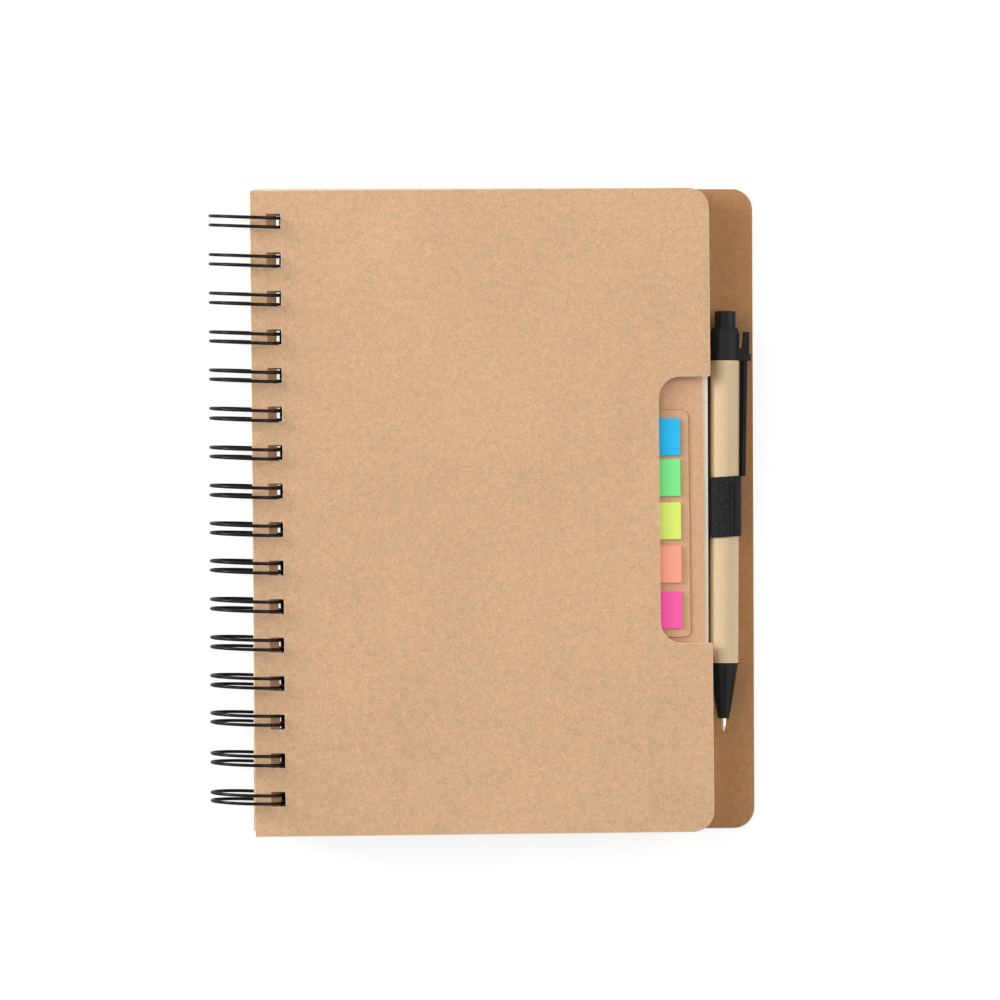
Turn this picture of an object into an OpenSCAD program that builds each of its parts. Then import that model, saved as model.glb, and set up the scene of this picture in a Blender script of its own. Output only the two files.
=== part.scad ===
// Spiral notebook with kraft covers on a twin-loop wire, a die-cut index window over five sticky
// flags, and a click pen with a paper barrel held in an elastic loop at the fore-edge.
//
// The book lies on its back cover. Everything is drawn in the book's own frame first: its origin
// is the centre line of the wire's loops, x runs from the spine to the fore-edge, y along the
// spine and z up through the stack. on_table() then tips the book as the loops under the spine
// hold it, and sets it on z = 0 with the middle of its outline at the origin.

/* [Covers] */
// Height of the covers along the spine
cover_h = 213; // [200:0.2:280]
// Width of the front cover
front_w = 151.6; // [120:0.2:200]
// Width of the back cover, which reaches out under the pen
back_w = 166.6; // [140:0.2:220]
// Thickness of the cover board
board_t = 0.9; // [0.5:0.1:1.2]
// Radius of the rounded corners at the fore-edge
corner_r = 7; // [1:0.5:12]
// Turn of the front cover on the loose wire, in degrees
front_skew = 0.3; // [0:0.05:0.5]
// Distance of the front cover's middle below the middle of its row of holes
front_drop = 1.05; // [0:0.05:1.5]

/* [Index window] */
// Length of the window along the fore-edge
window_h = 88; // [86:0.5:110]
// Depth of the window from the fore-edge of the cover
window_d = 17.2; // [12:0.2:25]
// Radius of the window's inner corners
window_r = 7.2; // [1:0.2:8]
// Radius of the outer corners where the window meets the fore-edge
window_lip_r = 0.7; // [0.2:0.1:1.5]

/* [Pages] */
// Height of the sheets
page_h = 212.4; // [200:0.2:280]
// Width of the sheets
page_w = 146.8; // [120:0.2:160]
// Thickness of the whole block of ruled sheets
page_stack_t = 8; // [7:0.1:8.6]

/* [Flags] */
// Height of the divider that carries the flags
divider_h = 210; // [200:0.2:280]
// Width of the divider that carries the flags
divider_w = 146.4; // [120:0.2:160]
// Thickness of the divider and of the flags' card
card_t = 0.4; // [0.2:0.05:0.5]
// Turn of the divider and what it carries, in degrees
divider_skew = 0.5; // [0:0.05:0.5]
// Height of the card that backs the flags
flag_card_h = 75.4; // [73:0.2:85]
// Width of the card that backs the flags
flag_card_w = 60; // [52:1:80]
// Corner radius of the card that backs the flags
flag_card_r = 2.5; // [0.5:0.5:5]
// Margin between the card's edge and the flags' ends
flag_end_margin = 3; // [1:0.2:6]
// Margin between the card's top and the first flag
flag_top_margin = 2.9; // [1:0.1:6]
// Height of one flag
flag_h = 12.2; // [8:0.1:12.4]
// Length of one flag
flag_l = 45; // [20:1:50]
// Thickness of one pad of flags
flag_t = 0.9; // [0.5:0.1:1.6]
// Distance of the card's edge from the divider's fore-edge
flag_card_inset = 4.8; // [2:0.1:12]
// Distance of the card's middle below the divider's middle
flag_card_drop = 6; // [0:0.1:8]

/* [Wire] */
// Number of twin loops
loops = 16; // [4:1:20]
// Distance from one twin loop to the next
loop_pitch = 12.7; // [11:0.1:13]
// Outer diameter of the loops
loop_d = 25.4; // [25.2:0.1:26]
// Thickness of the wire
wire_d = 1.05; // [0.7:0.05:1.1]
// Distance between the two strands of a twin loop
strand_gap = 3; // [2.6:0.1:3.1]
// Radius of the bends between the strands and the straight links
link_bend_r = 1; // [0.8:0.1:1.4]
// Height of the stack's middle over the centre of the loops
stack_rise = 0.45; // [0.3:0.05:0.6]
// Width of the punched holes across the spine
hole_w = 4.75; // [4.7:0.05:5.2]
// Height of the punched holes along the spine
hole_h = 4.9; // [4.85:0.05:5.5]
// Distance of the punched holes from the spine edge of the covers and the divider
hole_margin = 5.3; // [4:0.1:6.5]
// Distance of the pages' holes from their spine edge
page_hole_margin = 4.2; // [3:0.1:6]

/* [Pen loop] */
// Thickness of the elastic
elastic_t = 0.7; // [0.5:0.05:0.9]
// Width of the elastic along the spine
elastic_w = 20; // [12:0.5:30]
// Height of the elastic's upper edge over the middle of the book
elastic_top = 10.3; // [-30:0.1:20]
// Length of the elastic's tail under the pages
elastic_tail = 16; // [8:0.5:30]

/* [Pen] */
// Outer diameter of the paper barrel
barrel_d = 9.6; // [8.8:0.1:10]
// Wall of the paper barrel
barrel_wall = 0.9; // [0.6:0.05:1.1]
// Length of the paper barrel
barrel_l = 100.3; // [90:0.1:140]
// Length of the nose below the barrel
nose_l = 18.4; // [14:0.1:24]
// Diameter of the nose's mouth end
nose_end_d = 3.7; // [3.5:0.1:4.4]
// Number of grip grooves in the nose
grip_grooves = 8; // [4:1:10]
// Length of the writing tip that stands out of the nose
tip_out = 4.2; // [3:0.1:4.5]
// Length of the cap above the barrel, with its flange
cap_l = 11; // [10:0.1:14]
// Thickness of the cap's flange along the pen
flange_t = 2.2; // [1.5:0.1:3]
// Diameter of the push button
button_d = 6.9; // [5.5:0.1:7]
// Length of the button that stands out of the cap
button_out = 5.4; // [3:0.1:9]
// Travel of the button from tip out to tip in
click_travel = 5; // [4.6:0.1:6]
// Further travel of the button when it is pressed home
press_travel = 1; // [0.5:0.1:1.5]
// Reach of the clip's flange from the pen's axis
clip_reach = 8.5; // [8:0.1:11]
// Length of the clip below the flange
clip_l = 38.3; // [20:0.1:60]
// Width of the clip
clip_w = 4.4; // [3:0.1:6]
// Thickness of the clip's arm
clip_t = 1.1; // [0.8:0.1:1.5]
// Lean of the clip's free end towards the barrel
clip_lean = 0.45; // [0:0.05:0.6]
// Diameter of the refill's tube
refill_d = 3; // [2.6:0.1:3.2]
// Turn of the pen in its elastic, in degrees
pen_yaw = 0.45; // [0:0.05:0.6]

/* [Fits] */
// Clearance between the elastic and the pen
loop_fit = 0.1; // [0.05:0.05:0.3]
// Clearance of the plugs that are pressed into the barrel
plug_fit = 0.05; // [0.03:0.01:0.1]
// Clearance of the pen's sliding parts
slide_fit = 0.1; // [0.05:0.01:0.2]
// Clearance between the wire and the nearest edge of a hole
wire_fit = 0.2; // [0.1:0.05:0.3]
// Play between the wire and the far edge of the pages' holes
page_play = 1.7; // [0.2:0.1:2]
// Clearance of the front cover above the flags
cover_fit = 0.6; // [0.05:0.05:1]
// Clearance between the elastic and the edge of the pages
edge_fit = 0.05; // [0.05:0.05:0.5]

/* [Hidden] */
$fn = 64;
eps = 0.01;
over = 1;

// The stack, from the underside of the back cover upwards
tail_t = 2 * elastic_t;
stack_t = board_t + tail_t + page_stack_t + 2 * card_t + flag_t + cover_fit + board_t;
loop_r = (loop_d - wire_d) / 2;
back_z = stack_rise - stack_t / 2;
back_top_z = back_z + board_t;
page_z = back_top_z + tail_t;
divider_z = page_z + page_stack_t;
flag_card_z = divider_z + card_t;
flag_z = flag_card_z + card_t;
front_z = flag_z + flag_t + cover_fit;

// Where the wire crosses a level, and the spine edge of a sheet whose holes it fills outwards
function wire_x(z) = sqrt(loop_r * loop_r - z * z);
hole_row_h = (loops - 1) * loop_pitch;
sheet_in = hole_margin + hole_w;
front_swing = hole_row_h / 2 * sin(front_skew);
divider_swing = hole_row_h / 2 * sin(divider_skew);
front_x = wire_x(front_z) + wire_d / 2 + wire_fit + front_swing - sheet_in;
back_x = wire_x(back_top_z) + wire_d / 2 + wire_fit - sheet_in;
page_x = loop_r + wire_d / 2 + page_play - page_hole_margin - hole_w;
divider_x = wire_x(flag_card_z) - wire_d / 2 - wire_fit - divider_swing - hole_margin;
front_pivot_x = front_x + hole_margin + hole_w / 2;
divider_pivot_x = divider_x + hole_margin + hole_w / 2;
window_inner_x = front_w - window_d;

// The rest on the table
back_edge_x = back_x + back_w;
rest_tilt = asin(loop_d / 2 / norm([back_edge_x, back_z])) - atan(-back_z / back_edge_x);
outline_max_x = back_edge_x * cos(rest_tilt) + back_top_z * sin(rest_tilt);
outline_min_x = -loop_d / 2;
outline_max_y = cover_h / 2;
outline_min_y = -(cover_h / 2 + front_drop) * cos(front_skew)
    - (front_pivot_x - front_x) * sin(front_skew);
table_shift = [-(outline_max_x + outline_min_x) / 2, -(outline_max_y + outline_min_y) / 2,
               loop_d / 2];

// The seam of the wire: links between the back cover and the last page
link_z = (back_top_z + page_z) / 2;
base_angle = asin(link_z / norm([loop_r, link_bend_r])) - atan(link_bend_r / loop_r);
seam_gap = strand_gap / 2 + wire_d / 2;
tip_angle = base_angle + seam_gap / loop_r * 180 / PI;
link_l = loop_pitch - strand_gap - 2 * link_bend_r;
bend_thinning = 0.02;
bend_run_in = 7;

// The flags from the top of the card down, with the gaps between them
flag_gaps = [1.3, 2.1, 2.2, 2.9];
function flag_top(i) = i == 0 ? flag_card_h / 2 - flag_top_margin
    : flag_top(i - 1) - flag_h - flag_gaps[i - 1];
flag_card_x = divider_w - flag_card_inset - flag_card_w;
flag_x = flag_card_x + flag_card_w - flag_end_margin - flag_l;

// The pen: its own z runs from the ball of the tip to the button, its x points at the clip and
// its y points down
barrel_r = barrel_d / 2;
cap_step = 0.1;
bore_r = barrel_r - barrel_wall;
plug_r = bore_r - plug_fit;
loop_mid_y = elastic_top - elastic_w / 2;
loop_in_r = ceil(100 * (barrel_r + loop_fit + elastic_w / 2 * tan(pen_yaw))) / 100;
loop_out_r = loop_in_r + elastic_t;
pen_x = page_x + page_w + edge_fit + loop_out_r;
pen_z = back_top_z + loop_out_r;
nose_z = tip_out;
barrel_z = nose_z + nose_l;
cap_z = barrel_z + barrel_l;
cap_top_z = cap_z + cap_l;
button_top_z = cap_top_z + button_out;
clip_end_z = cap_z - clip_l;
clip_gap = 0.5;
pen_y = elastic_top + clip_gap - clip_end_z;
arm_setback = 1.2;
rib_w = 1.2;
block_inset = 0.6;
block_l = 1.9;
fin_l = 5.5;
fin_foot_t = 2.2;
fin_top_t = 1.8;

// The nose and the refill that slides in it
nose_end_r = nose_end_d / 2;
nose_top_r = barrel_r - cap_step;
nose_plug_l = 12;
function nose_r(t) = nose_end_r + (nose_top_r - nose_end_r) * pow(t, 0.92);
nose_steps = 8;
groove_r = 0.35;
groove_from = 0.15;
groove_to = 0.88;
refill_r = refill_d / 2;
refill_bore_r = refill_r - 0.4;
tip_r = 0.9;
ball_r = 0.4;
taper_z = 1.9;
mouth_r = tip_r + slide_fit;
seat_z = nose_z + 5.5;
shoulder_z = seat_z + press_travel + 2 * slide_fit;
tube_z = shoulder_z + 1.6;
stem_l = 5;
spring_wire_r = 0.18;
spring_r = refill_r + slide_fit + spring_wire_r;
spring_turns = 9;
spring_steps = 14;
spring_sides = 6;
collar_r = spring_r + spring_wire_r;
collar_z = barrel_z + 3;
collar_l = 1;
nose_bore_r = collar_r + slide_fit;

// The cap, the button and the cam rotor between the button and the refill
lip_l = 1.5;
lip_z = cap_top_z - lip_l;
button_r = button_d / 2;
button_collar_r = button_r + 0.3;
button_collar_l = 1.2;
button_collar_z = lip_z - slide_fit - click_travel - button_collar_l;
chamber_r = button_collar_r + slide_fit;
chamber_z = button_collar_z - press_travel - slide_fit;
stem_r = button_r - 0.65;
guide_r = stem_r + slide_fit;
foot_z = cap_z - 6;
rotor_l = 6;
rotor_z = foot_z - rotor_l - slide_fit / 2;
rotor_r = stem_r - 0.6;
rotor_socket_l = 3;
rotor_foot_l = 2;
rotor_fin_t = 0.8;
cap_plug_z = rotor_z - press_travel - 1;
cap_r = barrel_r - cap_step;
cap_bevel_l = 1.3;
cap_rim_r = button_r + 0.6;
button_grooves = 8;
button_groove_r = 0.4;
button_bevel = 0.4;

module on_table() {
    translate(table_shift) rotate([0, rest_tilt, 0]) children();
}

// Stands a shape drawn up the z axis along the pen's line, which lies a little askew in its loop
module along_pen() {
    on_table() translate([pen_x, loop_mid_y, pen_z]) rotate([0, 0, -pen_yaw])
        translate([0, pen_y - loop_mid_y, 0]) rotate([-90, 0, 0]) children();
}

// What is left outside a rounded corner at the origin, with the sheet towards -x and -y
module corner_waste(r) {
    translate([-r, -r]) difference() {
        square(r + over);
        circle(r);
    }
}

// One sheet's outline: square at the spine, rounded at the fore-edge, punched for the wire
module sheet_outline(w, h) {
    difference() {
        translate([0, -h / 2]) square([w, h]);
        translate([w, h / 2]) corner_waste(corner_r);
        translate([w, -h / 2]) mirror([0, 1]) corner_waste(corner_r);
    }
}

module punched_holes(margin) {
    for (i = [0:loops - 1])
        translate([margin, (i - (loops - 1) / 2) * loop_pitch - hole_h / 2])
            square([hole_w, hole_h]);
}

// The window is open to the fore-edge, with rounded inner corners and softened lips
module window_outline() {
    translate([window_inner_x + window_r, -window_h / 2]) square([window_d, window_h]);
    translate([window_inner_x, window_r - window_h / 2]) square([window_d, window_h - 2 * window_r]);
    for (side = [-1, 1])
        translate([window_inner_x + window_r, side * (window_h / 2 - window_r)]) circle(window_r);
    for (side = [-1, 1])
        translate([front_w, side * window_h / 2]) scale([1, -side]) corner_waste(window_lip_r);
}

// Turns a sheet about the middle of its row of holes, as it lies loose on the wire
module skewed(pivot_x, angle) {
    translate([pivot_x, 0, 0]) rotate([0, 0, angle]) translate([-pivot_x, 0, 0]) children();
}

module front_cover() {
    color([0.85, 0.69, 0.54]) on_table() skewed(front_pivot_x, front_skew)
        translate([front_x, 0, front_z]) linear_extrude(board_t) difference() {
            translate([0, -front_drop]) difference() {
                sheet_outline(front_w, cover_h);
                window_outline();
            }
            punched_holes(hole_margin);
        }
}

module back_cover() {
    color([0.78, 0.62, 0.47]) on_table() translate([back_x, 0, back_z])
        linear_extrude(board_t) difference() {
            sheet_outline(back_w, cover_h);
            punched_holes(hole_margin);
        }
}

module page_block() {
    color([0.93, 0.91, 0.84]) on_table() translate([page_x, 0, page_z])
        linear_extrude(page_stack_t) difference() {
            sheet_outline(page_w, page_h);
            punched_holes(page_hole_margin);
        }
}

module flag_divider() {
    color([0.87, 0.7, 0.54]) on_table() skewed(divider_pivot_x, divider_skew)
        translate([divider_x, 0, divider_z]) linear_extrude(card_t) difference() {
            sheet_outline(divider_w, divider_h);
            punched_holes(hole_margin);
        }
}

// The frame of the flags' card, with its own middle left edge at the origin
module on_divider() {
    on_table() skewed(divider_pivot_x, divider_skew)
        translate([divider_x + flag_card_x, -flag_card_drop, flag_card_z]) children();
}

module flag_card() {
    color([0.8, 0.63, 0.48]) on_divider() linear_extrude(card_t) difference() {
        translate([0, -flag_card_h / 2]) square([flag_card_w, flag_card_h]);
        for (x = [0, 1], y = [0, 1])
            translate([x * flag_card_w, (y - 0.5) * flag_card_h])
                scale([2 * x - 1, 2 * y - 1]) corner_waste(flag_card_r);
    }
}

module flag_pad(i) {
    on_divider() translate([flag_x - flag_card_x, flag_top(i) - flag_h, card_t])
        cube([flag_l, flag_h, flag_t]);
}

module flag_blue() {
    color([0.18, 0.73, 0.98]) flag_pad(0);
}

module flag_green() {
    color([0.51, 0.92, 0.55]) flag_pad(1);
}

module flag_yellow() {
    color([0.86, 0.93, 0.47]) flag_pad(2);
}

module flag_orange() {
    color([1, 0.67, 0.57]) flag_pad(3);
}

module flag_pink() {
    color([1, 0.43, 0.69]) flag_pad(4);
}

// A length of the wire bent round a centre: r is the bend's radius, a its angle from the x axis
module bend(r, a, wire_r) {
    rotate_extrude(angle = a) translate([r, 0]) circle(wire_r);
}

// A tight bend thins the wire a little and runs on into the straight lengths at both its ends
module tight_bend(r, a) {
    rotate([0, 0, -bend_run_in]) bend(r, a + 2 * bend_run_in, wire_d / 2 - bend_thinning);
}

// A point on the loops' circle, with x along the circle and z inwards to its centre
module on_loop(a) {
    rotate([0, -a, 0]) translate([loop_r, 0, 0]) rotate([0, -90, 0]) children();
}

// One hairpin: two strands round the loop, the round tip, and the bends that start the links
module twin_loop() {
    for (side = [-1, 1])
        translate([0, side * strand_gap / 2, 0]) rotate([90, 0, 0]) rotate([0, 0, tip_angle])
            bend(loop_r, 360 - (tip_angle - base_angle), wire_d / 2);
    on_loop(tip_angle) rotate([0, 0, 90]) tight_bend(strand_gap / 2, 180);
    for (side = [-1, 1])
        on_loop(base_angle) scale([1, side, 1]) translate([0, strand_gap / 2 + link_bend_r, 0])
            rotate([0, 0, -90]) tight_bend(link_bend_r, 90);
}

module twin_loop_wire() {
    color([0.13, 0.13, 0.14]) on_table() union() {
        for (i = [0:loops - 1])
            translate([0, (i - (loops - 1) / 2) * loop_pitch, 0]) twin_loop();
        for (i = [1:loops - 1])
            translate([0, (i - loops / 2) * loop_pitch, 0]) on_loop(base_angle)
                translate([link_bend_r, link_l / 2, 0]) rotate([90, 0, 0])
                    cylinder(r = wire_d / 2, h = link_l);
    }
}

// The elastic runs under the pages, once round the pen and back under itself
module pen_loop() {
    color([0.12, 0.12, 0.12]) on_table() translate([0, elastic_top, 0]) rotate([90, 0, 0])
        linear_extrude(elastic_w) difference() {
            union() {
                translate([pen_x, pen_z]) circle(loop_out_r);
                translate([page_x + page_w - elastic_tail, back_top_z])
                    square([pen_x - page_x - page_w + elastic_tail, tail_t]);
            }
            translate([pen_x, pen_z]) circle(loop_in_r);
        }
}

module pen_barrel() {
    color([0.85, 0.75, 0.6]) along_pen() translate([0, 0, barrel_z]) difference() {
        cylinder(r = barrel_r, h = barrel_l);
        translate([0, 0, -over]) cylinder(r = bore_r, h = barrel_l + 2 * over);
    }
}

// A groove with round ends that follows the slope of the nose
module grip_groove() {
    low = [nose_r(groove_from), nose_z + groove_from * nose_l];
    high = [nose_r(groove_to), nose_z + groove_to * nose_l];
    run = high - low;
    translate([low[0], 0, low[1]]) rotate([0, atan(run[0] / run[1]), 0]) {
        cylinder(r = groove_r, h = norm(run));
        translate([0, 0, norm(run)]) sphere(groove_r);
        sphere(groove_r);
    }
}

module pen_nose() {
    profile = [for (i = [0:nose_steps]) [nose_r(i / nose_steps), nose_z + nose_l * i / nose_steps]];
    plug_end_z = barrel_z + nose_plug_l;
    color([0.16, 0.16, 0.17]) along_pen() difference() {
        rotate_extrude() polygon(concat(
            [[0, nose_z]], profile,
            [[plug_r, barrel_z], [plug_r, plug_end_z], [0, plug_end_z]]));
        translate([0, 0, nose_z - over]) cylinder(r = mouth_r, h = nose_l);
        translate([0, 0, seat_z]) cylinder(r = nose_bore_r, h = nose_l + nose_plug_l);
        for (i = [0:grip_grooves - 1])
            rotate([0, 0, i * 360 / grip_grooves - 90]) grip_groove();
    }
}

// The clip is moulded with the cap: a flange that bridges out with a block and a thumb fin on it,
// and an arm that hangs from it, leans towards the barrel and has a rib along its back
module clip() {
    arm_x = clip_reach - arm_setback - clip_t;
    rib_x = barrel_r + slide_fit;
    fin_x = clip_reach - block_inset;
    translate([0, -clip_w / 2, cap_z]) cube([clip_reach, clip_w, flange_t]);
    translate([0, clip_w / 2, 0]) rotate([90, 0, 0]) linear_extrude(clip_w) polygon([
        [arm_x - clip_lean, clip_end_z], [arm_x - clip_lean + clip_t, clip_end_z],
        [arm_x + clip_t, cap_z + over], [arm_x, cap_z + over]]);
    translate([0, rib_w / 2, 0]) rotate([90, 0, 0]) linear_extrude(rib_w) polygon([
        [rib_x, clip_end_z], [arm_x - clip_lean + eps, clip_end_z],
        [arm_x + eps, cap_z + over], [rib_x, cap_z + over]]);
    translate([0, clip_w / 2 - block_inset / 2, cap_z + flange_t - eps]) rotate([90, 0, 0])
        linear_extrude(clip_w - block_inset) polygon([
            [0, 0], [fin_x, 0], [fin_x, block_l + fin_l], [fin_x - fin_top_t, block_l + fin_l],
            [fin_x - fin_foot_t, block_l], [0, block_l]]);
}

module pen_cap() {
    color([0.16, 0.16, 0.17]) along_pen() difference() {
        union() {
            rotate_extrude() polygon([
                [0, cap_plug_z], [plug_r, cap_plug_z], [plug_r, cap_z], [barrel_r, cap_z],
                [barrel_r, cap_z + flange_t], [cap_r, cap_z + flange_t],
                [cap_r, cap_top_z - cap_bevel_l], [cap_rim_r, cap_top_z], [0, cap_top_z]]);
            clip();
        }
        translate([0, 0, cap_plug_z - over]) cylinder(r = guide_r, h = cap_l + chamber_z);
        translate([0, 0, chamber_z]) cylinder(r = chamber_r, h = lip_z - chamber_z);
        translate([0, 0, chamber_z]) cylinder(r = button_r + slide_fit, h = cap_l);
    }
}

module pen_button() {
    color([0.2, 0.2, 0.21]) along_pen() difference() {
        rotate_extrude() polygon([
            [0, foot_z], [stem_r, foot_z], [stem_r, button_collar_z],
            [button_collar_r, button_collar_z],
            [button_collar_r, button_collar_z + button_collar_l],
            [button_r, button_collar_z + button_collar_l], [button_r, button_top_z - button_bevel],
            [button_r - button_bevel, button_top_z], [0, button_top_z]]);
        for (i = [0:button_grooves - 1])
            rotate([0, 0, i * 360 / button_grooves - 90])
                translate([button_r + button_groove_r / 2, 0, cap_top_z + button_bevel])
                    cylinder(r = button_groove_r, h = button_out);
    }
}

// The cam ring that turns a step at each click, with four fins that ride in the cap
module pen_rotor() {
    fin_r = guide_r - slide_fit;
    color([0.9, 0.9, 0.88]) along_pen() difference() {
        union() {
            translate([0, 0, rotor_z]) cylinder(r = rotor_r, h = rotor_l);
            for (i = [0:1])
                rotate([0, 0, i * 90]) translate([-fin_r, -rotor_fin_t / 2, rotor_z + rotor_foot_l])
                    cube([2 * fin_r, rotor_fin_t, rotor_l - rotor_foot_l]);
        }
        translate([0, 0, rotor_z - over]) cylinder(r = refill_r + plug_fit, h = over + rotor_socket_l);
    }
}

module refill_tube() {
    color([0.8, 0.82, 0.85]) along_pen() difference() {
        union() {
            translate([0, 0, tube_z]) cylinder(r = refill_r, h = rotor_z + rotor_socket_l - tube_z);
            translate([0, 0, collar_z]) cylinder(r = collar_r, h = collar_l);
        }
        translate([0, 0, tube_z - over]) cylinder(r = refill_bore_r, h = rotor_z - tube_z);
    }
}

module refill_tip() {
    stem_in_r = refill_bore_r - plug_fit;
    color([0.85, 0.83, 0.78]) along_pen() union() {
        rotate_extrude() polygon([
            [0, ball_r], [ball_r, ball_r], [tip_r, taper_z], [tip_r, shoulder_z],
            [refill_r, shoulder_z], [refill_r, tube_z], [stem_in_r, tube_z],
            [stem_in_r, tube_z + stem_l], [0, tube_z + stem_l]]);
        translate([0, 0, ball_r]) sphere(ball_r);
    }
}

// A wire of round section swept along a helix, as one closed surface
module helix(r, wire_r, low, high, turns) {
    last = turns * spring_steps;
    ring = [for (j = [0:spring_sides - 1]) 360 * j / spring_sides];
    points = [for (i = [0:last], t = ring)
        let (a = 360 * i / spring_steps, d = r + wire_r * cos(t))
            [d * cos(a), d * sin(a), low + (high - low) * i / last + wire_r * sin(t)]];
    skin = [for (i = [0:last - 1], j = [0:spring_sides - 1])
        let (n = (j + 1) % spring_sides, k = i * spring_sides)
            [k + j, k + n, k + spring_sides + n, k + spring_sides + j]];
    caps = [[for (j = [spring_sides - 1:-1:0]) j], [for (j = [0:spring_sides - 1])
        last * spring_sides + j]];
    polyhedron(points, concat(skin, caps));
}

module pen_spring() {
    reach = spring_wire_r + plug_fit;
    color([0.6, 0.6, 0.62]) along_pen()
        helix(spring_r, spring_wire_r, seat_z + reach, collar_z - reach, spring_turns);
}

back_cover();
page_block();
flag_divider();
flag_card();
flag_blue();
flag_green();
flag_yellow();
flag_orange();
flag_pink();
front_cover();
twin_loop_wire();
pen_loop();
pen_barrel();
pen_nose();
pen_cap();
pen_button();
pen_rotor();
refill_tube();
refill_tip();
pen_spring();
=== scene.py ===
"""Looks for the spiral notebook: kraft board, ruled sheets, sticky flags, wire, elastic and pen."""
import math
import random

import bmesh
import bpy
import numpy as np
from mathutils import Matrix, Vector
from mathutils.geometry import tessellate_polygon


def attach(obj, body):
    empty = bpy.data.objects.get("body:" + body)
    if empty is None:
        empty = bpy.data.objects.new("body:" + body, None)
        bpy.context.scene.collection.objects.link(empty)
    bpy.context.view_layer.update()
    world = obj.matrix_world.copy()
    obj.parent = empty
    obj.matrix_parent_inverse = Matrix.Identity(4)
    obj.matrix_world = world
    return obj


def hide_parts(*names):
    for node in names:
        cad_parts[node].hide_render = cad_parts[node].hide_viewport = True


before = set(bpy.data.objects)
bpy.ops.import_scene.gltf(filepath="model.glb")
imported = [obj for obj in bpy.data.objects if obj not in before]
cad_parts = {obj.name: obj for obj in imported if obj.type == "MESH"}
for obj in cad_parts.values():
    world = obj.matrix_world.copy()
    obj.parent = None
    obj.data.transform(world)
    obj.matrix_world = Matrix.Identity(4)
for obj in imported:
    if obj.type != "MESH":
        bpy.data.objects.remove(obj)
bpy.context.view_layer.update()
random.seed(7)
MM = 0.001

# The book's own frame, as part.scad draws it, in millimetres: the origin is the loops' axis
LOOPS, PITCH, LOOP_R, WIRE_R = 16, 12.7, 12.175, 0.54
HOLE_W, HOLE_H, PAGE_MARGIN, CORNER_R = 4.75, 4.9, 4.2, 7.0
BACK_TOP, PAGE_Z, DIVIDER_Z = -5.4, -4.0, 4.0
PAGE_X, PAGE_W, PAGE_H = 5.45, 146.8, 212.4
PEN_X, PEN_Z, BORE_R = 157.98, 0.28, 4.98
BACK_EDGE, BACK_UNDER, LOOPS_OUT = 168.187, 6.3, 12.7
# The book rests on its loops and on the back cover's fore-edge, so it is tipped by TILT about y.
# SHIFT then brings the loops' axis to its place over the middle of the whole.
TILT = math.asin(LOOPS_OUT / math.hypot(BACK_EDGE, BACK_UNDER)) - math.atan(BACK_UNDER / BACK_EDGE)
MIDDLE_X = (BACK_EDGE * math.cos(TILT) + BACK_TOP * math.sin(TILT) - LOOPS_OUT) / 2
SHIFT = (-MIDDLE_X, 0.5443, LOOPS_OUT)


def on_table(points):
    """Points of the book's frame, n x 3 in millimetres, as metres in the row frame."""
    p = np.asarray(points, float).reshape(-1, 3)
    c, s = math.cos(TILT), math.sin(TILT)
    out = np.column_stack([p[:, 0] * c + p[:, 2] * s, p[:, 1], p[:, 2] * c - p[:, 0] * s])
    return (out + SHIFT) * MM


# Materials


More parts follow.
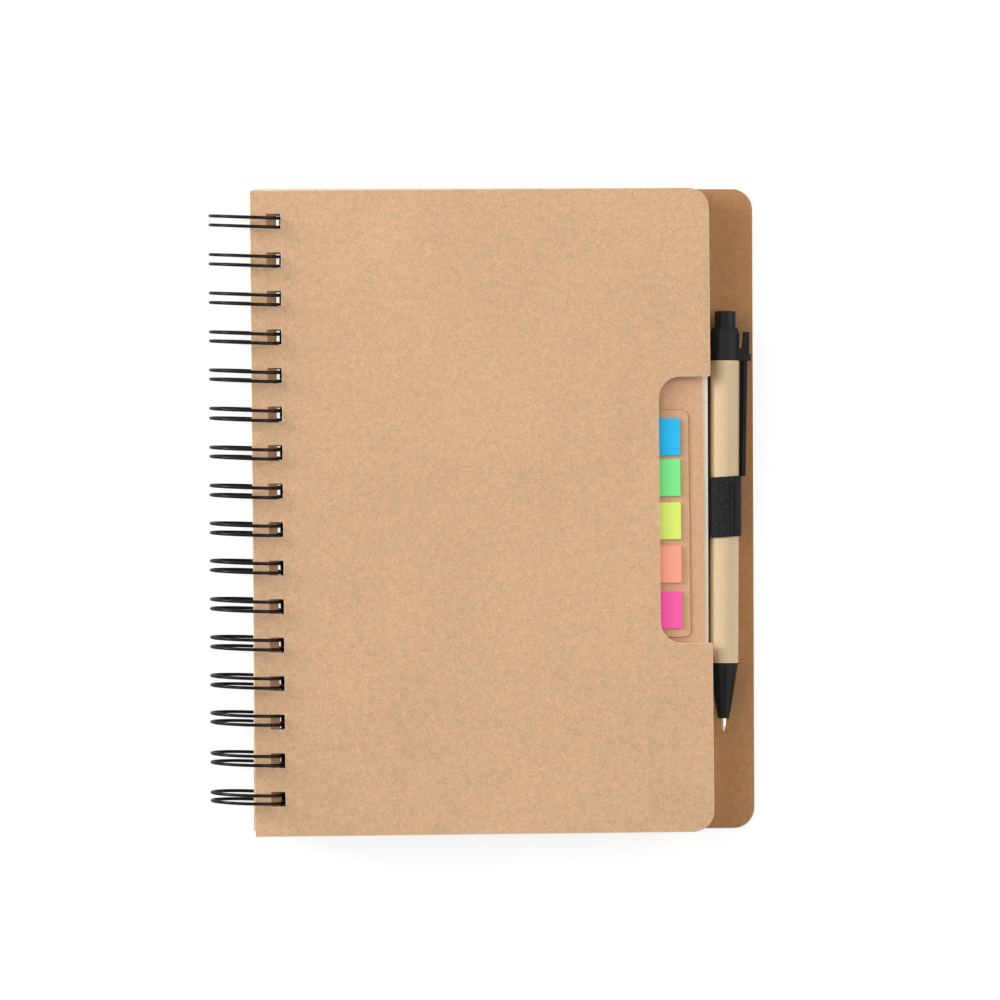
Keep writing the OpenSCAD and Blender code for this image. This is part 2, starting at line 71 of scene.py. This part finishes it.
class Shader:
    """A node tree around one Principled BSDF, with short calls for the nodes used here."""

    def __init__(self, name, **sockets):
        self.mat = bpy.data.materials.new(name)
        self.mat.use_nodes = True
        self.t = self.mat.node_tree
        self.bsdf = self.t.nodes["Principled BSDF"]
        for key, value in sockets.items():
            self.bsdf.inputs[key.replace("_", " ")].default_value = value
        self.coords = self.t.nodes.new("ShaderNodeTexCoord").outputs["Object"]

    def put(self, socket, value):
        if isinstance(value, bpy.types.NodeSocket):
            self.t.links.new(value, socket)
        elif value is not None:
            socket.default_value = value

    def mapped(self, stretch=(1, 1, 1), turn=0.0):
        """Coordinates in which a pattern comes out stretched along axes that are turned about z."""
        n = self.t.nodes.new("ShaderNodeMapping")
        n.vector_type = "TEXTURE"
        self.put(n.inputs["Vector"], self.coords)
        n.inputs["Scale"].default_value = stretch
        n.inputs["Rotation"].default_value = (0, 0, math.radians(turn))
        return n.outputs["Vector"]

    def noise(self, scale, detail=2.0, rough=0.5, vector=None):
        n = self.t.nodes.new("ShaderNodeTexNoise")
        self.put(n.inputs["Vector"], vector or self.coords)
        n.inputs["Scale"].default_value = scale
        n.inputs["Detail"].default_value = detail
        n.inputs["Roughness"].default_value = rough
        return n.outputs["Fac"]

    def fit(self, value, low, high, to_low=0.0, to_high=1.0):
        n = self.t.nodes.new("ShaderNodeMapRange")
        for i, v in enumerate((value, low, high, to_low, to_high)):
            self.put(n.inputs[i], v)
        return n.outputs[0]

    def calc(self, what, a, b=None, c=None):
        n = self.t.nodes.new("ShaderNodeMath")
        n.operation = what
        for i, v in enumerate((a, b, c)):
            self.put(n.inputs[i], v)
        return n.outputs[0]

    def mix(self, fac, a, b, how="MIX"):
        n = self.t.nodes.new("ShaderNodeMix")
        n.data_type, n.blend_type = "RGBA", how
        self.put(n.inputs[0], fac)
        for socket, v in ((n.inputs[6], a), (n.inputs[7], b)):
            self.put(socket, (*v, 1.0) if isinstance(v, tuple) and len(v) == 3 else v)
        return n.outputs[2]

    def axis(self, name, normal=False):
        n = self.t.nodes.new("ShaderNodeSeparateXYZ")
        source = self.coords
        if normal:
            source = self.t.nodes.new("ShaderNodeNewGeometry").outputs["Normal"]
        self.put(n.inputs[0], source)
        return n.outputs[name]

    def height(self):
        """How far a point is up through the stack, in metres, square to the tipped sheets."""
        up = self.calc("MULTIPLY", self.axis("Z"), math.cos(TILT))
        return self.calc("MULTIPLY_ADD", self.axis("X"), math.sin(TILT), up)

    def bump(self, height, distance, strength=1.0):
        n = self.t.nodes.new("ShaderNodeBump")
        self.put(n.inputs["Height"], height)
        n.inputs["Distance"].default_value = distance
        n.inputs["Strength"].default_value = strength
        self.put(self.bsdf.inputs["Normal"], n.outputs[0])

    def colour(self, value):
        self.put(self.bsdf.inputs["Base Color"], value)

    def rough(self, value):
        self.put(self.bsdf.inputs["Roughness"], value)


def srgb(r, g, b, gain=1.0):
    """A linear colour from 8-bit values, lightened by gain."""
    def linear(v):
        v /= 255
        return gain * (v / 12.92 if v <= 0.04045 else ((v + 0.055) / 1.055) ** 2.4)
    return tuple(linear(v) for v in (r, g, b))


# The board's tone is a sum of noises, each with its scale, detail and share; the last are clouds
GRAIN = ((2300, 2, 0.48), (1050, 2, 0.21), (420, 3, 0.22))
CLOUD_DETAIL, CLOUD_SHARE = 3, 0.14
GRAIN_SUM, GRAIN_DEPTH = 1.05, 0.35
# Its stray fibres lie in these directions, in degrees, each with its noise's scale
FIBRES = ((24, 1200), (67, 1500), (118, 1350), (161, 1250))
FIBRE_SHARE = 0.30


def kraft(name, colour, contrast=1.0, clouds=30.0):
    """Brown board: fine grain on a faint mottle and broad clouds, with a few short stray fibres."""
    s = Shader(name, Specular_IOR_Level=0.25)
    tone = None
    for scale, detail, share in GRAIN + ((clouds, CLOUD_DETAIL, CLOUD_SHARE),):
        layer = s.fit(s.noise(scale, detail, 0.6), 0.28, 0.72)
        tone = s.calc("MULTIPLY_ADD", layer, share, 0.0 if tone is None else tone)
    tint = s.fit(s.noise(260, 2), 0.35, 0.65)
    red = (colour[0] * 1.004, colour[1] * 0.997, colour[2] * 0.988)
    green = (colour[0] * 0.996, colour[1] * 1.003, colour[2] * 1.012)
    shade = s.fit(tone, 0, GRAIN_SUM, 1 - GRAIN_DEPTH * contrast, 1 + GRAIN_DEPTH * contrast)
    grey = s.t.nodes.new("ShaderNodeCombineColor")
    for i in range(3):
        s.put(grey.inputs[i], shade)
    out = s.mix(1.0, s.mix(tint, red, green), grey.outputs[0], "MULTIPLY")
    pale = dark = None
    for turn, scale in FIBRES:
        strand = s.noise(scale, 1, 0.4, s.mapped((4.5, 1, 1), turn))
        spot = s.noise(scale * 1.1, 1, 0.4, s.mapped((2.5, 1, 1), turn + 50))
        line, speck = s.fit(strand, 0.80, 0.84), s.fit(spot, 0.20, 0.16)
        pale = line if pale is None else s.calc("MAXIMUM", pale, line)
        dark = speck if dark is None else s.calc("MAXIMUM", dark, speck)
    for where, gain in ((pale, 1.25), (dark, 0.6)):
        fibre = tuple(min(1, c * gain) for c in colour)
        out = s.mix(s.calc("MULTIPLY", where, FIBRE_SHARE * contrast), out, fibre)
    s.colour(out)
    s.rough(s.fit(tone, 0.2, 0.8, 0.74, 0.86))
    s.bump(tone, 0.00005, 0.35)
    return s.mat


RULE_PITCH, RULE_PHASE = 0.008, 0.00426


def paper(name, colour, grain=0.02, spec=0.3, rules=False, sheets=0.0, glow=0.0):
    """Paper with a faint grain. rules draws printed lines on top, sheets is the pitch of its cut
    edges in millimetres, and glow is the strength of a painted glow: its own colour given off as
    light, whatever the lamps."""
    s = Shader(name, Specular_IOR_Level=spec, Emission_Color=(*colour, 1), Emission_Strength=glow)
    fine = s.fit(s.noise(1800, 3, 0.6), 0.3, 0.7)
    pale = tuple(min(1, c * (1 + grain)) for c in colour)
    out = s.mix(fine, tuple(c * (1 - grain) for c in colour), pale)
    up = s.calc("GREATER_THAN", s.calc("ABSOLUTE", s.axis("Z", normal=True)), 0.7)
    if rules:
        row = s.calc("PINGPONG", s.calc("ADD", s.axis("Y"), RULE_PHASE), RULE_PITCH / 2)
        line = s.calc("MULTIPLY", s.fit(row, 0.00008, 0.00013, 1, 0), up)
        out = s.mix(s.calc("MULTIPLY", line, 0.16), out, srgb(150, 150, 140))
    if sheets:
        depth = s.calc("MULTIPLY_ADD", s.noise(700, 2), 0.00005, s.height())
        wave = s.calc("PINGPONG", depth, sheets * MM)
        lines = s.fit(wave, 0, sheets * MM, 0.55, 0)
        side = s.calc("SUBTRACT", 1.0, up)
        out = s.mix(s.calc("MULTIPLY", lines, side), out, tuple(c * 0.62 for c in colour))
    s.colour(out)
    s.rough(s.fit(fine, 0, 1, 0.6, 0.75))
    s.bump(fine, 0.00002, 0.4)
    return s.mat


def plastic(name, colour, low=0.32, high=0.46, sheen=0.3):
    """Moulded plastic with a faint skin texture and a few dull patches."""
    s = Shader(name, Specular_IOR_Level=0.0, Coat_Weight=sheen)
    skin = s.noise(2400, 2, 0.5)
    haze = s.fit(s.noise(160, 3, 0.6), 0.3, 0.7)
    s.colour(s.mix(haze, colour, tuple(min(1, c * 1.35) for c in colour)))
    s.put(s.bsdf.inputs["Coat Roughness"], s.fit(haze, 0, 1, low, high))
    s.bump(skin, 0.00001, 0.35)
    return s.mat


def metal(name, colour, low, high, stretch=(1, 1, 1)):
    """Turned or drawn metal: fine lines along one direction in its roughness and its tone."""
    s = Shader(name, Metallic=1.0)
    lines = s.noise(3000, 2, 0.5, s.mapped(stretch))
    s.colour(s.mix(lines, tuple(c * 0.82 for c in colour), colour))
    s.rough(s.fit(lines, 0.3, 0.7, low, high))
    s.bump(lines, 0.000006, 0.4)
    return s.mat


def woven(name):
    """Black elastic: ribs round the loop are in the mesh, the stitches that cross them are here."""
    s = Shader(name, Specular_IOR_Level=0.1, Sheen_Weight=0.05, Sheen_Roughness=0.5)
    # The stitches' phase, in radians a metre
    round_loop, along_spine = 3700, 5200
    across = s.calc("MULTIPLY", s.axis("Z"), round_loop)
    across = s.calc("ADD", s.calc("MULTIPLY", s.axis("X"), round_loop), across)
    rows = s.calc("SINE", s.calc("MULTIPLY_ADD", s.axis("Y"), along_spine, across))
    columns = s.calc("SINE", s.calc("MULTIPLY_ADD", s.axis("Y"), -along_spine, across))
    weft = s.calc("MULTIPLY", columns, rows)
    fuzz = s.noise(2600, 2, 0.6)
    flecks = s.fit(s.calc("MULTIPLY_ADD", fuzz, 2.2, s.calc("MULTIPLY", weft, 0.3)), 0.9, 1.6)
    s.colour(s.mix(flecks, srgb(20, 20, 20), srgb(67, 67, 69)))
    s.rough(s.fit(fuzz, 0.3, 0.7, 0.7, 0.9))
    s.bump(s.calc("MULTIPLY_ADD", fuzz, 0.8, weft), 0.00012, 0.8)
    return s.mat


def enamel(name):
    """The wire's glossy black coat, with its slight orange peel and dust-dull spots."""
    s = Shader(name, Specular_IOR_Level=0.0, Coat_Weight=0.3, Coat_Roughness=0.16)
    peel = s.noise(1500, 2, 0.5)
    dull = s.fit(s.noise(300, 3, 0.6), 0.35, 0.75)
    s.colour(s.mix(dull, srgb(14, 14, 15), srgb(26, 26, 27)))
    s.put(s.bsdf.inputs["Coat Roughness"], s.fit(dull, 0, 1, 0.12, 0.24))
    s.bump(peel, 0.00001, 0.35)
    return s.mat


# How much lighter the board's colours are set than they come out under these lamps
GAIN = 1.08
# The pitch of the sheets' cut edges, in millimetres
SHEET_T = 0.1
M = {
    "cover": kraft("kraft_cover", srgb(216, 176, 138, GAIN)),
    # The back cover is the same board, coloured darker and browner as painted shade: it stands in
    # for the shadow that the pages and the front cover throw on it.
    "back": kraft("kraft_back_painted_shade", srgb(188, 138, 94, GAIN)),
    "divider": kraft("kraft_divider", srgb(222, 176, 138, GAIN), 0.7),
    # The eased edges of the covers and the divider are lighter, partly for the paler core of cut
    # board and partly as a painted edge highlight.
    "cut": kraft("kraft_core_and_edge_highlight", srgb(240, 212, 180, GAIN), 0.5),
    "page": paper("ruled_page", srgb(246, 238, 216), rules=True, sheets=SHEET_T),
    "wire": enamel("wire_enamel"),
    "elastic": woven("woven_elastic"),
    "barrel": kraft("barrel_paper", srgb(222, 196, 158, GAIN), 0.4, 60.0),
    "barrel_end": kraft("barrel_paper_end", srgb(238, 218, 186, GAIN), 0.4),
    # The flag card's eased edges are dark brown: a painted shadow that stands in for the thin shade
    # around the card's rim.
    "card_rim_shadow": kraft("card_rim_painted_shadow", srgb(150, 104, 74), 0.6),
    "black": plastic("black_plastic", srgb(38, 37, 36), sheen=0.2),
    "white": plastic("white_plastic", srgb(232, 232, 228)),
    "refill": plastic("refill_plastic", srgb(206, 212, 220), 0.2, 0.3),
    "tip": metal("tip_metal", srgb(232, 222, 200), 0.14, 0.26, (1, 6, 1)),
    "spring": metal("spring_steel", srgb(190, 190, 195), 0.25, 0.4),
}
# Each pad's colour, and the strength of its painted glow, which brightens it whatever the lamps
FLAGS = {
    "flag_blue": ((46, 196, 255), 0.07), "flag_green": ((134, 247, 148), 0.07),
    "flag_yellow": ((234, 252, 122), 0.07), "flag_orange": ((255, 170, 142), 0.13),
    "flag_pink": ((255, 98, 172), 0.13),
}
for flag, (rgb, glow) in FLAGS.items():
    M[flag] = paper(flag, srgb(*rgb), spec=0.25, sheets=SHEET_T, glow=glow)
    # Each pad's eased edges are lighter than its paper: a painted highlight along them.
    M[flag + "_edge"] = paper(flag + "_edge", tuple(min(1, c * 1.15 + 0.05) for c in srgb(*rgb)))


# Pieces that keep the CAD's shape, with their sharp edges eased


def piece(name, mesh, body, slot, *nodes):
    """An object of the mesh that rides a body and stands in for CAD nodes. slot is not used."""
    o = bpy.data.objects.new(name, mesh)
    bpy.context.scene.collection.objects.link(o)
    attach(o, body)
    if nodes:
        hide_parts(*nodes)
    return o


def built(name, points, faces, smooth=False):
    """A mesh of points of the book's frame, with its faces turned outwards."""
    mesh = bpy.data.meshes.new(name)
    mesh.from_pydata([tuple(p) for p in on_table(points)], [], faces)
    bm = bmesh.new()
    bm.from_mesh(mesh)
    bmesh.ops.recalc_face_normals(bm, faces=bm.faces)
    for f in bm.faces:
        f.smooth = smooth
    bm.to_mesh(mesh)
    bm.free()
    return mesh


# Faces that lie flatter together than FLAT are joined, and edges sharper than SHARP are eased
FLAT, SHARP = math.radians(0.2), math.radians(32)


def eased(node, body, slot, width, material, edge=None):
    """A copy of a CAD node with its sharp edges rounded over by width millimetres."""
    bm = bmesh.new()
    bm.from_mesh(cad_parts[node].data)
    bmesh.ops.remove_doubles(bm, verts=bm.verts, dist=2e-6)
    bmesh.ops.dissolve_limit(bm, angle_limit=FLAT, verts=bm.verts, edges=bm.edges)
    for f in bm.faces:
        f.smooth, f.material_index = True, 0
    mesh = bpy.data.meshes.new(node + "_eased")
    bm.to_mesh(mesh)
    bm.free()
    for stale in ("custom_normal", "sharp_edge", "sharp_face"):
        if stale in mesh.attributes:
            mesh.attributes.remove(mesh.attributes[stale])
    mesh.materials.append(M[material])
    mesh.materials.append(M[edge or material])
    o = piece(node + "_eased", mesh, body, slot, node)
    b = o.modifiers.new("ease", "BEVEL")
    b.width, b.segments, b.limit_method = width * MM, 2, "ANGLE"
    b.angle_limit, b.material, b.harden_normals = SHARP, 1, True


eased("front_cover", "front", "kraft_board", 0.2, "cover", "cut")
eased("back_cover", "book", "kraft_board", 0.2, "back", "cut")
eased("flag_divider", "book", "kraft_card", 0.08, "divider", "cut")
eased("flag_card", "book", "kraft_card", 0.12, "divider", "card_rim_shadow")
for flag in FLAGS:
    eased(flag, "book", flag[5:] + "_paper", 0.1, flag, flag + "_edge")
eased("pen_barrel", "pen", "barrel_paper", 0.25, "barrel", "barrel_end")
eased("pen_nose", "pen", "black_plastic", 0.08, "black")
eased("pen_cap", "pen", "black_plastic", 0.15, "black")
eased("pen_button", "button", "black_plastic", 0.15, "black")
INNER = {"pen_rotor": "white", "refill_tube": "refill", "refill_tip": "tip", "pen_spring": "spring"}
for node, key in INNER.items():
    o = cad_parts[node]
    o.data.materials.clear()
    o.data.materials.append(M[key])


# The sheets: a block of thin layers that don't quite line up


def arc(cx, cy, r, a0, a1, n):
    """n + 1 points of a circle's arc, between two angles in degrees."""
    angles = [math.radians(a0 + (a1 - a0) * i / n) for i in range(n + 1)]
    return [(cx + r * math.cos(a), cy + r * math.sin(a)) for a in angles]


def sheet_loops(w, h):
    """A sheet's outline, with its two round corners at the fore-edge, and its punched holes."""
    outer = [(0, h / 2), (0, -h / 2)]
    outer += arc(w - CORNER_R, -h / 2 + CORNER_R, CORNER_R, -90, 0, 10)
    outer += arc(w - CORNER_R, h / 2 - CORNER_R, CORNER_R, 0, 90, 10)
    holes = []
    for i in range(LOOPS):
        y = (i - (LOOPS - 1) / 2) * PITCH
        x0, x1, y0, y1 = PAGE_MARGIN, PAGE_MARGIN + HOLE_W, y - HOLE_H / 2, y + HOLE_H / 2
        holes.append([(x0, y0), (x0, y1), (x1, y1), (x1, y0)])
    return [outer] + holes


# Each drawn layer stands for a few sheets. TOP_LAYERS of them, just under the topmost one, have
# slipped by TOP_DROP millimetres towards the book's foot. The others stray by SLIP at most, and
# their fore-edges wander from layer to layer by DRIFT_STEP, of which DRIFT_KEPT carries over.
LAYERS, LAYER_GAP = 40, 0.02
TOP_LAYERS, TOP_DROP = 4, 0.35
DRIFT_KEPT, DRIFT_STEP, SLIP = 0.7, 0.05, 0.06


def page_block():
    """The layers, each with its punched holes, as one mesh."""
    loops = sheet_loops(PAGE_W, PAGE_H)
    flat = [p for loop in loops for p in loop]
    tris = tessellate_polygon([[Vector((x, y, 0)) for x, y in loop] for loop in loops])
    count = len(flat)
    step = (DIVIDER_Z - PAGE_Z) / LAYERS
    points, faces = [], []
    drift = 0.0
    for k in range(LAYERS):
        drift = DRIFT_KEPT * drift + random.uniform(-DRIFT_STEP, DRIFT_STEP)
        dx = 0.0 if k in (0, LAYERS - 1) else -abs(drift)
        lowered = LAYERS - 1 - TOP_LAYERS <= k < LAYERS - 1
        dy = random.uniform(-SLIP, SLIP) - (TOP_DROP if lowered else 0)
        base = len(points)
        for z in (PAGE_Z + k * step, PAGE_Z + (k + 1) * step - LAYER_GAP):
            points += [(PAGE_X + x + dx, y + dy, z) for x, y in flat]
        faces += [(base + a, base + b, base + c) for a, b, c in tris]
        faces += [(base + count + c, base + count + b, base + count + a) for a, b, c in tris]
        start = base
        for loop in loops:
            n = len(loop)
            for i in range(n):
                a, b = start + i, start + (i + 1) % n
                faces.append((a, b, b + count, a + count))
            start += n
    mesh = built("page_layers", points, faces)
    mesh.materials.append(M["page"])
    piece("page_layers", mesh, "book", "page_paper", "page_block")


page_block()


# The wire: one length swept along sixteen hairpins

# In millimetres: where each loop's top lies along the spine, how far its foot lies from its top,
# and how far apart its two strands are
TOP_FIRST, TOP_PITCH = 94.9, 12.621
TOP_STRAY = (0.0, -0.18, -0.28, -0.41, -0.37, -0.50, -0.60, -0.62,
             -0.47, -0.18, -0.23, -0.18, -0.16, 0.20, -0.43, -0.6)
LOOP_TOP = [TOP_FIRST - i * TOP_PITCH + stray for i, stray in enumerate(TOP_STRAY)]
LOOP_LEAN = [1.3 - 1.1 * i / (LOOPS - 1) for i in range(LOOPS)]
LOOP_GAP = [3.0, 3.1, 3.1, 3.0, 3.0, 3.2, 3.0, 3.1, 3.05, 3.05, 3.1, 3.1, 3.1, 2.95, 3.0, 2.7]
# How far the loops turn from square to the spine, and the angles of their links and closed tips
YAW = 0.036
BASE, TIP = -27.3, -17.8
BEND, TIP_BULGE = 1.0, 1.5
ARC_STEPS, TIP_STEPS, BEND_STEPS, WIRE_SIDES = 84, 10, 5, 12


def wire_path():
    """The wire's centre line: for each loop a bend, out to the tip, back and a bend to the next."""
    path = []

    def put(i, phi, off, r=LOOP_R, along=0.0):
        a = math.radians(phi)
        u, w = r * math.cos(a) - along * math.sin(a), r * math.sin(a) + along * math.cos(a)
        y = LOOP_TOP[i] + LOOP_LEAN[i] * (LOOP_R - w) / (2 * LOOP_R) - YAW * (u + 0.5) + off
        path.append((u, y, w))

    sweep = BASE + 360 - TIP
    for i in range(LOOPS):
        g = LOOP_GAP[i] / 2
        for k in range(BEND_STEPS + 1):
            t = math.radians(90 * k / BEND_STEPS)
            put(i, BASE, g + BEND * (1 - math.sin(t)), along=BEND * math.cos(t))
        for k in range(1, ARC_STEPS):
            put(i, BASE - sweep * k / ARC_STEPS, g)
        for k in range(TIP_STEPS + 1):
            t = math.radians(180 * k / TIP_STEPS)
            put(i, TIP, g * math.cos(t), along=-TIP_BULGE * math.sin(t))
        for k in range(1, ARC_STEPS):
            put(i, TIP + sweep * k / ARC_STEPS, -g)
        for k in range(BEND_STEPS + 1):
            t = math.radians(90 * k / BEND_STEPS)
            put(i, BASE, -g - BEND * (1 - math.cos(t)), along=BEND * math.sin(t))
    return np.array(path)


def swept(path, radius, sides, name):
    """A round wire along a path, with frames carried along it so that it doesn't twist."""
    d = np.gradient(path, axis=0)
    d /= np.linalg.norm(d, axis=1)[:, None]
    normal = np.cross(d[0], (0, 0, 1))
    normal /= np.linalg.norm(normal)
    rings = []
    for p, t in zip(path, d):
        normal = normal - t * normal.dot(t)
        normal /= np.linalg.norm(normal)
        side = np.cross(t, normal)
        a = np.arange(sides) * 2 * math.pi / sides
        rings.append(p + radius * (np.outer(np.cos(a), normal) + np.outer(np.sin(a), side)))
    n = len(path)
    faces = []
    for i in range(n - 1):
        here, there = i * sides, (i + 1) * sides
        for j in range(sides):
            k = (j + 1) % sides
            faces.append((here + j, here + k, there + k, there + j))
    faces += [tuple(range(sides))[::-1], tuple((n - 1) * sides + j for j in range(sides))]
    mesh = bpy.data.meshes.new(name)
    mesh.from_pydata([tuple(p) for p in np.vstack(rings)], [], faces)
    mesh.polygons.foreach_set("use_smooth", [True] * len(mesh.polygons))
    return mesh


wire = swept(on_table(wire_path()), WIRE_R * MM, WIRE_SIDES, "twin_loop_coil")
wire.materials.append(M["wire"])
piece("twin_loop_coil", wire, "book", "black_wire", "twin_loop_wire")


# The elastic: one strip from under the pages, round the pen and back under itself

ELASTIC_TOP, ELASTIC_W, ELASTIC_T = 10.3, 20.0, 0.7
# How far it reaches under the pages, its fold's radius, and how it rides up on the pen's far side
TUCK, FOLD, RIDE_UP = 16, 1.1, 0.3
RIBS, PER_RIB, RIB_DEPTH = 36, 4, 0.045
SELVEDGE, SELVEDGE_DROP = 0.3, 0.12


def elastic():
    """The folded strip, with its ribs, its rounded selvedges and its cut ends."""
    r, t = BORE_R + ELASTIC_T / 2, ELASTIC_T
    low, high = BACK_TOP + t / 2, BACK_TOP + 1.5 * t
    tail = PAGE_X + PAGE_W - TUCK
    left = PEN_X - r
    line = [(tail + (PEN_X - tail) * i / 12, low) for i in range(12)]
    line += arc(PEN_X, PEN_Z, r, -90, 180, 90)
    line += [(left, PEN_Z - (PEN_Z - high - FOLD) * i / 6) for i in range(1, 6)]
    line += arc(left - FOLD, high + FOLD, FOLD, 0, -90, 8)
    line += [(left - FOLD - (left - FOLD - tail) * i / 10, high) for i in range(1, 11)]
    p = np.array(line)
    d = np.gradient(p, axis=0)
    d /= np.linalg.norm(d, axis=1)[:, None]
    out = np.column_stack([d[:, 1], -d[:, 0]])
    around = np.arctan2(p[:, 1] - PEN_Z, p[:, 0] - PEN_X)
    rise = np.where(p[:, 0] > PEN_X - r - 0.1, RIDE_UP * (1 + np.cos(around)), 0)
    cells = RIBS * PER_RIB
    points = []
    for face in (1, -1):
        for (x, z), o, up in zip(p, out, rise):
            for j in range(cells + 1):
                v = j / cells
                edge = min(v, 1 - v) * ELASTIC_W
                round_off = SELVEDGE_DROP * max(0.0, 1 - edge / SELVEDGE) ** 2
                rib = RIB_DEPTH * abs(math.sin(math.pi * j / PER_RIB)) - RIB_DEPTH
                h = face * (t / 2 + rib - round_off)
                y = ELASTIC_TOP - ELASTIC_W * v + up
                points.append((x + o[0] * h, y, z + o[1] * h))
    n, m = len(p), cells + 1
    faces = []
    for f in (0, 1):
        for i in range(n - 1):
            for j in range(cells):
                a = f * n * m + i * m + j
                quad = (a, a + 1, a + m + 1, a + m)
                faces.append(quad if f else quad[::-1])
    for i in range(n - 1):
        for j in (0, cells):
            a, b = i * m + j, n * m + i * m + j
            quad = (a, a + m, b + m, b)
            faces.append(quad if j else quad[::-1])
    for i in (0, n - 1):
        for j in range(cells):
            a, b = i * m + j, n * m + i * m + j
            faces.append((a, a + 1, b + 1, b))
    mesh = built("elastic_strip", points, faces, smooth=True)
    mesh.materials.append(M["elastic"])
    piece("elastic_strip", mesh, "book", "black_elastic", "pen_loop")


elastic()


# Floor, light and camera

# The floor's edge in metres, its tone for the light that it gives back, its tone and glow where
# it is seen, and the sky's tone
FLOOR_SIZE, FLOOR_LIT, FLOOR_SEEN, FLOOR_GLOW, SKY = 6.0, 0.8, 0.34, 0.80, 0.25
# Square lamps that face the origin: place and edge in metres, and power
LAMPS = {
    "key": ((-1.05, 0.42, 1.02), 1.3, 10.4),
    "rake": ((-1.33, 0.50, 0.46), 0.6, 15.5),
    "fill": ((1.25, 0.25, 0.76), 1.2, 10.8),
}
# The camera looks straight down from 1.7 m over this point of the book's frame, turned by this
# many degrees, and frames a third of a metre at the table
CAMERA_OVER, CAMERA_UP, CAMERA_TURN = (83.41, 3.12), 1.7, -0.218
SENSOR, FOCAL_RATIO = 36.0, 5.0999


def neutral(v):
    """A grey of linear value v."""
    return (v, v, v, 1)


def white_rays(tree):
    """1 for the rays that should find the white background: seen, mirrored or through glass."""
    path = tree.nodes.new("ShaderNodeLightPath")
    out = path.outputs["Is Camera Ray"]
    for name in ("Is Glossy Ray", "Is Transmission Ray"):
        n = tree.nodes.new("ShaderNodeMath")
        n.operation = "MAXIMUM"
        tree.links.new(out, n.inputs[0])
        tree.links.new(path.outputs[name], n.inputs[1])
        out = n.outputs[0]
    return out


def stage():
    """A pale floor, a white background for the rays that see it, three lamps and the camera."""
    bpy.ops.mesh.primitive_plane_add(size=FLOOR_SIZE, location=(0, 0, 0))
    floor = bpy.context.object
    floor.name = "floor"
    mat = bpy.data.materials.new("pale_floor")
    mat.use_nodes = True
    t = mat.node_tree
    t.nodes.clear()
    out = t.nodes.new("ShaderNodeOutputMaterial")
    both = t.nodes.new("ShaderNodeMixShader")
    lit = t.nodes.new("ShaderNodeBsdfDiffuse")
    lit.inputs["Color"].default_value = neutral(FLOOR_LIT)
    seen = t.nodes.new("ShaderNodeAddShader")
    faint = t.nodes.new("ShaderNodeBsdfDiffuse")
    faint.inputs["Color"].default_value = neutral(FLOOR_SEEN)
    glow = t.nodes.new("ShaderNodeEmission")
    glow.inputs["Strength"].default_value = FLOOR_GLOW
    t.links.new(faint.outputs[0], seen.inputs[0])
    t.links.new(glow.outputs[0], seen.inputs[1])
    t.links.new(white_rays(t), both.inputs[0])
    t.links.new(lit.outputs[0], both.inputs[1])
    t.links.new(seen.outputs[0], both.inputs[2])
    t.links.new(both.outputs[0], out.inputs["Surface"])
    floor.data.materials.append(mat)

    world = bpy.data.worlds.new("studio")
    bpy.context.scene.world = world
    world.use_nodes = True
    w = world.node_tree
    back = w.nodes["Background"]
    back.inputs["Color"].default_value = neutral(SKY)
    white = w.nodes.new("ShaderNodeBackground")
    white.inputs["Color"].default_value = neutral(1)
    pick = w.nodes.new("ShaderNodeMixShader")
    w.links.new(white_rays(w), pick.inputs[0])
    w.links.new(back.outputs[0], pick.inputs[1])
    w.links.new(white.outputs[0], pick.inputs[2])
    w.links.new(pick.outputs[0], w.nodes["World Output"].inputs["Surface"])

    for name, (at, size, power) in LAMPS.items():
        light = bpy.data.lights.new(name, "AREA")
        light.shape, light.size, light.energy = "SQUARE", size, power
        o = bpy.data.objects.new(name, light)
        bpy.context.scene.collection.objects.link(o)
        o.location = at
        o.rotation_euler = (-Vector(at)).to_track_quat("-Z", "Y").to_euler()

    camera = bpy.data.cameras.new("camera")
    camera.sensor_width, camera.lens = SENSOR, SENSOR * FOCAL_RATIO
    camera.clip_start, camera.clip_end = 0.05, 20
    o = bpy.data.objects.new("camera", camera)
    bpy.context.scene.collection.objects.link(o)
    o.location = (*((SHIFT[i] + CAMERA_OVER[i]) * MM for i in (0, 1)), CAMERA_UP)
    o.rotation_euler = (0, 0, math.radians(CAMERA_TURN))
    bpy.context.scene.camera = o
    bpy.context.scene.view_settings.view_transform = "Standard"


stage()
